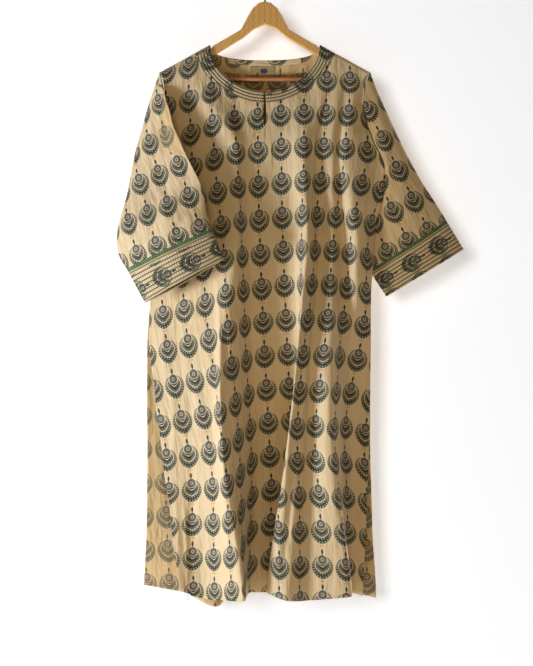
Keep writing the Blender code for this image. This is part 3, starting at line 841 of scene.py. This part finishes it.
RIGHT_SLEEVE_CREASES = (
    (228, 270, 300, 430, 9, 2.4), (246, 330, 262, 500, 9, -2.4), (300, 420, 330, 540, 8, 2.2),
    (236, 470, 270, 570, 7, 2.0),
)


def ring_lengths(grid):
    """Each point's distance round its ring from the outer point, with the ring's whole length last."""
    joined = np.concatenate([grid, grid[:, :1]], axis=1)
    steps = np.linalg.norm(np.diff(joined, axis=1), axis=2)
    return np.concatenate([np.zeros((len(grid), 1)), np.cumsum(steps, axis=1)], axis=1)


def sleeve_cloth(grid, down, eye, side):
    """The sleeve's flat cloth, unrolled from its front line, with its grain along down and a motif at eye."""
    rows, width = grid.shape[:2]
    cloth = np.zeros((rows, width + 1, 2))
    across = (down[1], -down[0])
    front = width // 4
    for i in range(rows):
        base = grid[i, front]
        start_u = (base[0] - eye[0]) * across[0] + (base[1] - eye[1]) * across[1]
        start_v = (base[0] - eye[0]) * down[0] + (base[1] - eye[1]) * down[1]
        for direction, stop in ((1, width), (-1, 0)):
            u, v, last = start_u, start_v, front
            cloth[i, front] = (u, v)
            while last != stop:
                a, b = grid[i, last % width], grid[i, (last + direction) % width]
                gap = float(np.linalg.norm(b - a))
                slant = (b[0] - a[0]) * down[0] + (b[1] - a[1]) * down[1]
                slant = max(-gap * 0.95, min(gap * 0.95, slant))
                v += slant
                u -= side * direction * math.sqrt(gap * gap - slant * slant)
                last += direction
                cloth[i, last] = (u, v)
    return cloth


def band_map(grid, start, end):
    """A tube's band coordinates: distance round it, and depth down it."""
    lengths = ring_lengths(grid)
    depth = np.linspace(start, end, len(grid))[:, None] * np.ones((1, lengths.shape[1]))
    return np.stack([lengths, depth], axis=2)


def strip_grid(x_from, x_to, z_top, z_bottom, out, columns, rows):
    made = []
    for i in range(rows + 1):
        row = []
        for j in range(columns + 1):
            x = x_from + (x_to - x_from) * j / columns
            z = z_top(x) + (z_bottom(x) - z_top(x)) * i / rows
            row.append((x, z, out(x, z)))
        made.append(row)
    return np.array(made)


def own(obj, node):
    """Puts a piece on the hanging body, in place of its CAD node."""
    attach(obj, "root")
    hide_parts(node)
    return obj


def cloth_piece(
    node, grid, maps, looks,
    closed=False, flip=False, on_it=(),
):
    """One cut of cloth: its shell, on the hanging body in place of its CAD node. on_it is not used."""
    obj = own(grid_object(f"look_{node}", grid, maps, looks, CLOTH, closed, flip), node)
    list(on_it)
    return obj


def cut_keyhole(panel):
    """The keyhole slit: a narrow drop-shaped opening below the neck band's seam."""
    corners = [place(x, z, out) for out in (-2, 40) for x, z in KEYHOLE]
    count = len(KEYHOLE)
    faces = [tuple(range(count)), tuple(range(2 * count - 1, count - 1, -1))]
    faces += [(i, i + count, (i + 1) % count + count, (i + 1) % count) for i in range(count)]
    cutter = add_mesh("keyhole", corners, faces)
    cutter.hide_render = True
    cutter.hide_viewport = True
    cut = panel.modifiers.new("Keyhole", "BOOLEAN")
    cut.operation = "DIFFERENCE"
    cut.object = cutter


def build_body(looks, trim):
    front = fine_panel(FRONT_FOLDS, SIDES, front_top, 1.0, 270, 4.1)
    back = fine_panel(BACK_FOLDS, BACK_SIDES, back_top, -1.0, 250, 4.4)
    front_seam = front[0].copy()
    back_seam = back[0].copy()
    front_cloth = panel_cloth(front)
    back_cloth = panel_cloth(back, False)
    back_cloth[..., 0] += BACK_COLUMN_SHIFT
    back_cloth[..., 1] += BACK_ROW_SHIFT
    front = crease(front, FRONT_CREASES)
    front = soft_noise(front, 40.0, 2.2, 3.0)
    back = crease(back, BACK_CREASES, -1.0)
    back = soft_noise(back, 44.0, 2.0, 11.0)
    front = hold_edges(front, front_seam, 1.0)
    back = hold_edges(back, back_seam, -1.0)
    panel = cloth_piece(
        "front_panel", front, {"cloth": front_cloth}, looks["cotton"],
    )
    cut_keyhole(panel)
    cloth_piece(
        "back_panel", back, {"cloth": back_cloth}, looks["cotton"],
        flip=True, on_it=[build_facing(looks), *trim["back"]],
    )
    build_neck(front_seam, back_seam, looks, trim)


def hold_edges(grid, seam, sign):
    """Puts the top seam and the side edges back where they are sewn, after creasing."""
    grid[0] = seam
    for i in range(1, 6):
        share = i / 6
        sewn = np.array([neck_out(x, z, sign) for x, z in grid[i, :, :2]])
        grid[i, :, 2] = grid[i, :, 2] * share + (1 - share) * sewn
    for j in (0, -1):
        for i in range(len(grid)):
            z = grid[i, j, 1]
            out = armhole_out(z) if z < UNDERARM else max(sign * grid[i, j, 2], SEAM_OUT)
            grid[i, j, 2] = sign * out
    return grid


def arc_map(rows):
    """A band's coordinates: distance along it, from its middle, and depth across it from the neck edge."""
    grid = np.array(rows)
    made = np.zeros(grid.shape[:2] + (2,))
    middle = grid[len(grid) // 2]
    along = np.concatenate([[0.0], np.cumsum(np.hypot(np.diff(middle[:, 0]), np.diff(middle[:, 1])))])
    for i in range(len(grid)):
        depth = np.linalg.norm(grid[i] - grid[0], axis=1)
        made[i, :, 0] = along
        made[i, :, 1] = depth
    return made


def build_facing(looks):
    """The printed strip inside the back of the neck."""

    def top(x):
        return back_neck_z(x) + 0.5

    def bottom(x):
        return back_neck_z(x) + 11

    def inside(x, z):
        return neck_out(x, z, -1.0) + CLOTH + GAP + TRIM

    rows = strip_grid(-74, 74, top, bottom, inside, 60, 6)
    cloth = plane_map(rows, (10.0, 161.0))[..., ::-1]
    obj = grid_object("look_back_neck_facing", rows, {"cloth": cloth}, looks["facing"], TRIM)
    return own(obj, "back_neck_facing")


def build_neck(front_seam, back_seam, looks, trim):
    seam = seam_points([tuple(point) for point in front_seam])
    halves = (
        ("neck_band_left", [point for point in seam if point[0] < -3] + [(-SLIT_HALF, BAND_BOTTOM)]),
        ("neck_band_right", [(SLIT_HALF, BAND_BOTTOM)] + [point for point in seam if point[0] > 3]),
    )
    for node, points in halves:
        rows = np.array(fine_band(points, neck_z, 1.0))
        maps = {"band": arc_map(rows), "cloth": plane_map(rows)}
        cloth_piece(
            node, rows, maps, looks["neck"],
            on_it=trim[node],
        )
    rows = np.array(fine_band(seam_points([tuple(point) for point in back_seam]), back_neck_z, -1.0))
    maps = {"band": arc_map(rows), "cloth": plane_map(rows)}
    cloth_piece(
        "neck_band_back", rows, maps, looks["neck_back"],
        flip=True,
    )


def fine_band(seam, inner, sign):
    """The neck band on its panel's seam, in twelve rows across its width, slightly rounded."""
    made = []
    for i in range(13):
        share = i / 12
        row = []
        for x_seam, z_seam in seam:
            x_in = x_seam * NECK_HALF / BAND_HALF
            z_in = inner(x_in)
            x = x_in + (x_seam - x_in) * share
            z = z_in + (z_seam - z_in) * share
            row.append((x, z, neck_out(x, z, sign)))
        made.append(row)
    return made


def plane_map(grid, eye=None):
    """The print as it runs straight across a piece that lies nearly flat in the x-z plane."""
    made = np.zeros(grid.shape[:2] + (2,))
    for i in range(grid.shape[0]):
        for j in range(grid.shape[1]):
            x, z = grid[i, j, 0], grid[i, j, 1]
            if eye:
                made[i, j] = (x - eye[0], z - eye[1])
            else:
                u = x - table_at(MIDDLE_COLUMN, z)[0]
                made[i, j] = (u, z - FIRST_ROW_Z - row_drop(u, z))
    return made


def fine_ring_rows(table, side, points, between_rows):
    rings = [armhole_ring(side, points)]
    rings += [ring(row_points(row), points) for row in table]
    made = []
    for i in range((len(rings) - 1) * between_rows + 1):
        place_on = i / between_rows
        lines = [[[one[j][axis] for one in rings] for axis in range(3)] for j in range(points)]
        made.append([tuple(spline_at(values, place_on) for values in line) for line in lines])
    return np.array(made)


def build_sleeves(looks):
    for side_name, side, table, cuff_end, creases, down, eye in (
        ("left", -1.0, SLEEVE_LEFT, CUFF_LEFT_END, LEFT_SLEEVE_CREASES, (0.36, 0.933), (-236, 477)),
        ("right", 1.0, SLEEVE_RIGHT, CUFF_RIGHT_END, RIGHT_SLEEVE_CREASES, (0.449, 0.893), (290, 444)),
    ):
        flip = side > 0
        points = 96
        rows = fine_ring_rows(table, side, points, 14)
        last = ring(row_points(cuff_end), points)
        end = rows[-1].copy()
        cloth = sleeve_cloth(rows, down, eye, side)
        rows = crease_front(rows, creases)
        border = np.array(cuff_rows(end, last, 0.0, BORDER_DEPTH, 6))
        maps = {"band": band_map(border, 0, BORDER_DEPTH)}
        edging = grid_object(f"look_border_{side_name}", border, maps, looks["border"], CLOTH, True, flip)
        own(edging, f"border_{side_name}")
        cloth_piece(
            f"sleeve_{side_name}", rows, {"cloth": cloth}, looks["cotton"],
            closed=True, flip=flip, on_it=[edging],
        )
        band = np.array(cuff_rows(end, last, BORDER_DEPTH + GAP, CUFF_DEPTH, 24))
        maps = {"band": band_map(band, BORDER_DEPTH, CUFF_DEPTH)}
        turned = maps["band"] - np.array(CUFF_EYES[side_name])
        across = turned[..., 0] / CUFF_SQUEEZE * CUFF_TURN[side_name]
        maps["cloth"] = np.stack([turned[..., 1], across], axis=2)
        cloth_piece(
            f"cuff_{side_name}", band, maps, looks["cuff"],
            closed=True, flip=flip,
        )


def crease_front(grid, lines):
    """Creases on a sleeve: they move its front half out and leave its back and both ends alone."""
    before = grid.copy()
    made = crease(grid, lines)
    points = grid.shape[1]
    for j in range(points):
        turn = math.sin(2 * math.pi * j / points)
        share = max(turn, 0.0) ** 0.5
        made[:, j, 2] = before[:, j, 2] + (made[:, j, 2] - before[:, j, 2]) * share
    for i in range(len(made)):
        hold = min(i / 8, (len(made) - 1 - i) / 8, 1.0)
        made[i, :, 2] = before[i, :, 2] + (made[i, :, 2] - before[i, :, 2]) * hold
    return made


def build_hanger(looks):
    """The wooden hanger's board with eased edges, its bar and its hook."""
    outline = list(BOARD_UPPER) + list(BOARD_LOWER)
    outline += [(-x, z) for x, z in reversed(outline) if x != 0]
    curve = bpy.data.curves.new("look_board", "CURVE")
    curve.dimensions = "2D"
    curve.fill_mode = "BOTH"
    curve.extrude = (BOARD_THICK / 2 - BOARD_EASE) * MM
    curve.bevel_depth = BOARD_EASE * MM
    curve.bevel_resolution = 3
    curve.offset = -BOARD_EASE * MM
    line = curve.splines.new("POLY")
    line.points.add(len(outline) - 1)
    for point, (x, z) in zip(line.points, outline):
        point.co = (x * MM, -z * MM, 0.0, 1.0)
    line.use_cyclic_u = True
    board = add("look_hanger_board", curve)
    board.rotation_euler = (math.pi / 2, 0.0, 0.0)
    curve.materials.append(looks["wood"])
    own(board, "hanger_board")
    mitre = tube("look_mitre", [place(-1.5, 58.5, 5.02), place(-1.5, 98.5, 5.02)], 0.22, looks["joint"])
    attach(mitre, "root")
    ends = [place(-BAR_HALF, BAR_Z, 0), place(BAR_HALF, BAR_Z, 0)]
    bar = tube("look_hanger_bar", ends, BAR_RADIUS, looks["bar"], 6)
    own(bar, "hanger_bar")
    radius, points = HOOK_INNER + HOOK_WIRE, []
    for step in range(0, 61):
        angle = math.radians(200.0 - step * 245.0 / 60)
        points.append(place(radius * math.cos(angle), HOOK_INNER - radius * math.sin(angle), 0.0))
    points += [place(4.0, HOOK_INNER + 24.0, 0.0), place(0.0, HOOK_INNER + 29.0, 0.0), place(0.0, 55.0, 0.0)]
    own(tube("look_hanger_hook", points, HOOK_WIRE, looks["steel"], 6), "hanger_hook")


def tube(name, points, radius, look, sides=3):
    curve = bpy.data.curves.new(name, "CURVE")
    curve.dimensions = "3D"
    curve.bevel_depth = radius * MM
    curve.bevel_resolution = sides
    curve.use_fill_caps = True
    line = curve.splines.new("POLY")
    line.points.add(len(points) - 1)
    for point, spot in zip(line.points, points):
        point.co = (*spot, 1.0)
    obj = add(name, curve)
    curve.materials.append(look)
    return obj


def build_trim(looks):
    """The button and its loop, and the bare labels, listed by the cloth that they are on."""
    front_out = neck_out(BUTTON_X, 241.0, 1.0) + CLOTH
    profile = ((0, 2.0), (1.4, 2.1), (3.0, 2.5), (3.9, 2.3), (4.4, 1.5), (4.3, 0.6), (3.6, 0.0), (0, 0.0))
    turns, corners, faces = 40, [], []
    for k in range(turns):
        angle = 2 * math.pi * k / turns
        for reach, height in profile:
            x, z = BUTTON_X + reach * math.cos(angle), BUTTON_Z + reach * math.sin(angle)
            corners.append(place(x, z, front_out + 0.1 + height))
    count = len(profile)
    for k in range(turns):
        for i in range(count - 1):
            a, b = k * count + i, (k + 1) % turns * count + i
            faces.append((a, b, b + 1, a + 1))
    obj = add_mesh("look_button", corners, faces)
    obj.data.shade_smooth()
    obj.data.materials.append(looks["button"])
    own(obj, "button")
    loop = []
    for step in range(0, 31):
        angle = math.radians(35 + step * 290 / 30)
        loop.append(place(8.0 + 7.2 * math.cos(angle), BUTTON_Z + 6.2 * math.sin(angle), front_out + 0.5))
    thread = own(tube("look_button_loop", loop, 0.7, looks["thread"]), "button_loop")
    for node, look in (("neck_label", "label"), ("size_tab", "dark_label"), ("hem_tab", "white")):
        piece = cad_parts[node]
        piece.data.materials.clear()
        piece.data.materials.append(looks[look])
    labels = [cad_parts[node] for node in ("neck_label", "size_tab", "hem_tab")]
    return {"back": labels, "neck_band_left": [], "neck_band_right": [obj, thread]}


def build_stage(looks):
    """A white wall close behind, a pale floor far below, the light and the camera."""
    upright = [(-3, WALL_Y, -3), (3, WALL_Y, -3), (3, WALL_Y, 2), (-3, WALL_Y, 2)]
    level = [(-3, -3, FLOOR_Z), (3, -3, FLOOR_Z), (3, WALL_Y, FLOOR_Z), (-3, WALL_Y, FLOOR_Z)]
    backdrop = add_mesh("backdrop", upright, [(0, 1, 2, 3)])
    floor = add_mesh("floor", level, [(0, 1, 2, 3)])
    for obj, look in ((backdrop, "wall"), (floor, "floor")):
        obj.data.materials.append(looks[look])
    world = bpy.data.worlds.new("studio")
    bpy.context.scene.world = world
    world.use_nodes = True
    tree = world.node_tree
    room = tree.nodes["Background"]
    room.inputs[0].default_value = (1.0, 1.0, 1.0, 1.0)
    room.inputs[1].default_value = WORLD_LIGHT
    paper = tree.nodes.new("ShaderNodeBackground")
    paper.inputs[0].default_value = (0.86, 0.86, 0.87, 1.0)
    seen = tree.nodes.new("ShaderNodeLightPath")
    both = tree.nodes.new("ShaderNodeMixShader")
    tree.links.new(seen.outputs["Is Camera Ray"], both.inputs[0])
    tree.links.new(room.outputs[0], both.inputs[1])
    tree.links.new(paper.outputs[0], both.inputs[2])
    tree.links.new(both.outputs[0], tree.nodes["World Output"].inputs[0])
    view = bpy.context.scene.view_settings
    view.view_transform = "Standard"
    view.look = "None"
    view.exposure = 0.0
    stage = bpy.data.collections.new("wall_and_floor")
    sleeve = bpy.data.collections.new("right_sleeve")
    rest = bpy.data.collections.new("all_but_wall_and_right_sleeve")
    for obj in (backdrop, floor):
        stage.objects.link(obj)
        rest.objects.link(obj)
    for name in ("look_sleeve_right", "look_border_right", "look_cuff_right"):
        sleeve.objects.link(bpy.data.objects[name])
        rest.objects.link(bpy.data.objects[name])
    cloth = bpy.data.collections.new("all_but_wall")
    cloth.objects.link(backdrop)
    for member in [*rest.collection_objects, *cloth.collection_objects]:
        member.light_linking.link_state = "EXCLUDE"
    lights = {"key": rest, "sleeve_key": sleeve, "fill": cloth, "wall_light": stage}
    for name, spot, size, watts, color, aim in LAMPS:
        lamp = bpy.data.lights.new(name, "AREA")
        lamp.shape = "RECTANGLE"
        lamp.size, lamp.size_y = size
        lamp.energy = watts
        lamp.color = color
        obj = add(name, lamp)
        obj.location = spot
        obj.rotation_euler = (Vector(aim) - Vector(spot)).to_track_quat("-Z", "Y").to_euler()
        if name in lights:
            obj.light_linking.receiver_collection = lights[name]
        if name == "back_light":
            obj.light_linking.receiver_collection = cloth
            obj.light_linking.blocker_collection = cloth
    camera = bpy.data.cameras.new("camera")
    camera.type = "PERSP"
    camera.sensor_fit = "VERTICAL"
    camera.sensor_height = 24.0
    camera.lens = 24.0 / (2 * math.tan(math.atan(0.666 / 1.8)))
    camera.clip_end = 20
    eye = add("camera", camera)
    eye.location = (0.003, -1.8, -0.717)
    eye.rotation_euler = (math.pi / 2, 0.0, 0.0)
    bpy.context.scene.camera = eye


def main():
    wrong_side = cotton("printed_cotton_wrong_side", 0.75, "#DFB97F", "#D2A96D")
    printed_cotton = [cotton("printed_cotton"), wrong_side]
    neck_look = stitched("stitched_neck", 2.0, 6.1, 30.0, 4.4, 0.15, 0.45, -5.0, 48.0)
    looks = {
        "cotton": printed_cotton,
        "facing": [cotton("facing_cotton")],
        "neck": [neck_look],
        "neck_back": [neck_look, printed_cotton[1]],
        "cuff": [stitched("stitched_cuff", 10.0, 8.2, 71.0, 5.2, 0.12, 0.4, 14.0, -50.0)],
        "border": [couching()],
        "wood": wood("varnished_wood", "#F0B968", "#D9963F", "#A9692B", 37.0, knot=(-5.0, -86.0)),
        "bar": wood("reddish_bar", "#D98A4E", "#B9663A", "#8A4423", 0.0),
        "joint": plain("mitre_line", "#7A4A20", 0.8),
        "steel": plain("hook_steel", "#C9C9CC", 0.22, 1.0),
        "button": plain("button_shell", "#6E3524", 0.3, second="#B98A6A", scale=0.7, amount=0.6),
        "thread": plain("loop_thread", "#3A3420", 0.8),
        "label": label_cloth("neck_label_cloth"),
        "dark_label": plain("size_tab_cloth", "#2E3A42", 0.8, second="#4A5560"),
        "white": plain("hem_tab_cloth", "#F4F6F8", 0.8),
        "wall": glowing_wall(),
        "floor": glowing("pale_floor", "#E6E6E8", FLOOR_GLOW).material,
    }
    build_body(looks, build_trim(looks))
    build_sleeves(looks)
    build_hanger(looks)
    build_stage(looks)


main()
